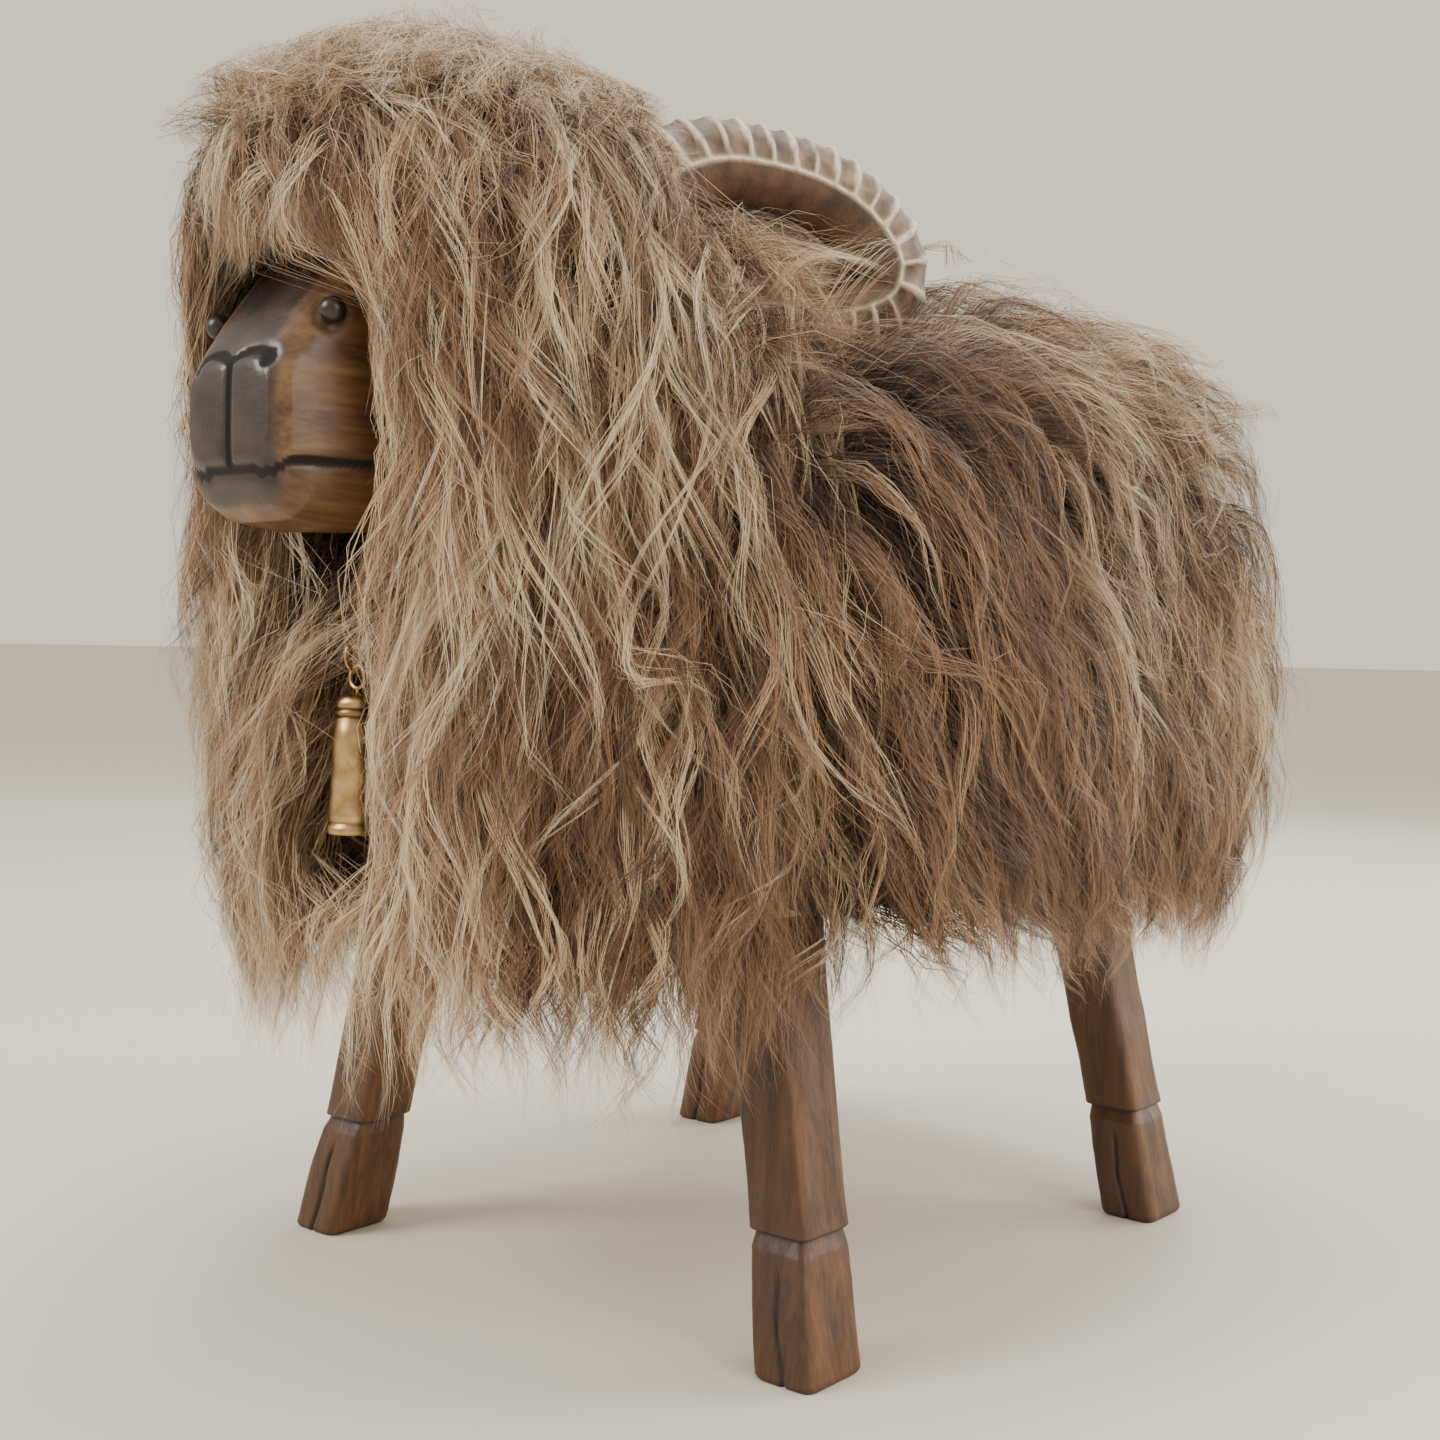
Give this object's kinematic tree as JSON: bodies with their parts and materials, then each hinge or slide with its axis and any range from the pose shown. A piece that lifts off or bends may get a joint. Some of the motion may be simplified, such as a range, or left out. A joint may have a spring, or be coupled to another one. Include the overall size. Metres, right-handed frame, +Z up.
{
  "type": "ram footstool",
  "caption": "Ram-shaped wooden footstool with splayed hoof legs, a padded seat under long-haired sheepskin, a carved muzzle, curled ridged horns and a hanging throat bell.",
  "frame": {"origin": "on the ground, under the middle of the whole object's box", "axes": "+Z up; the animal looks along -Y, its length runs along Y, and its left side is +X"},
  "size_m": [0.38, 0.5289, 0.474],
  "materials": {
    "stained_wood": "satin",
    "head_wood": "gloss",
    "horn_wood": "matte",
    "frame_wood": "matte",
    "padding_cloth": "matte",
    "leather": "satin",
    "fleece": "matte",
    "brass": "satin",
    "steel": "satin",
    "eye_glass": "gloss"
  },
  "bodies": {
    "root": {"leg_front_left": "stained_wood", "leg_front_right": "stained_wood", "leg_rear_left": "stained_wood", "leg_rear_right": "stained_wood", "head_block": "head_wood", "horn_left": "horn_wood", "horn_right": "horn_wood", "base_board": "frame_wood", "top_board": "frame_wood", "front_bulkhead": "frame_wood", "rear_bulkhead": "frame_wood", "side_board_left": "frame_wood", "side_board_right": "frame_wood", "neck_post": "frame_wood", "neck_dowel_lower": "frame_wood", "neck_dowel_upper": "frame_wood", "head_pin": "frame_wood", "horn_dowel_left": "frame_wood", "horn_dowel_right": "frame_wood", "leg_wedge_front_left": "frame_wood", "leg_wedge_front_right": "frame_wood", "leg_wedge_rear_left": "frame_wood", "leg_wedge_rear_right": "frame_wood", "body_padding": "padding_cloth", "throat_padding": "padding_cloth", "collar_strap": "leather", "fleece_body": "fleece", "fleece_mane": "fleece", "collar_loop": "brass", "upholstery_tack_1": "brass", "upholstery_tack_2": "brass", "upholstery_tack_3": "brass", "upholstery_tack_4": "brass", "upholstery_tack_5": "brass", "upholstery_tack_6": "brass", "top_screw_1": "steel", "top_screw_2": "steel", "top_screw_3": "steel", "top_screw_4": "steel", "base_screw_1": "steel", "base_screw_2": "steel", "base_screw_3": "steel", "base_screw_4": "steel", "eye_left": "eye_glass", "eye_right": "eye_glass"},
    "ring": {"bell_ring": "brass"},
    "bell": {"bell": "brass", "bell_hanger": "brass"},
    "clapper": {"clapper": "brass"}
  },
  "joints": [
    {"name": "ring_swing", "type": "hinge", "parent": "root", "child": "ring", "pos_m": [0, -0.1995, 0.257], "axis": [1, 0, 0], "range_deg": [-20, 6]},
    {"name": "bell_swing", "type": "hinge", "parent": "ring", "child": "bell", "pos_m": [0, -0.1995, 0.2482], "axis": [0, 1, 0], "range_deg": [-10, 10]},
    {"name": "clapper_swing", "type": "hinge", "parent": "bell", "child": "clapper", "pos_m": [0, -0.1995, 0.2321], "axis": [1, 0, 0], "range_deg": [-9, 9]}
  ]
}
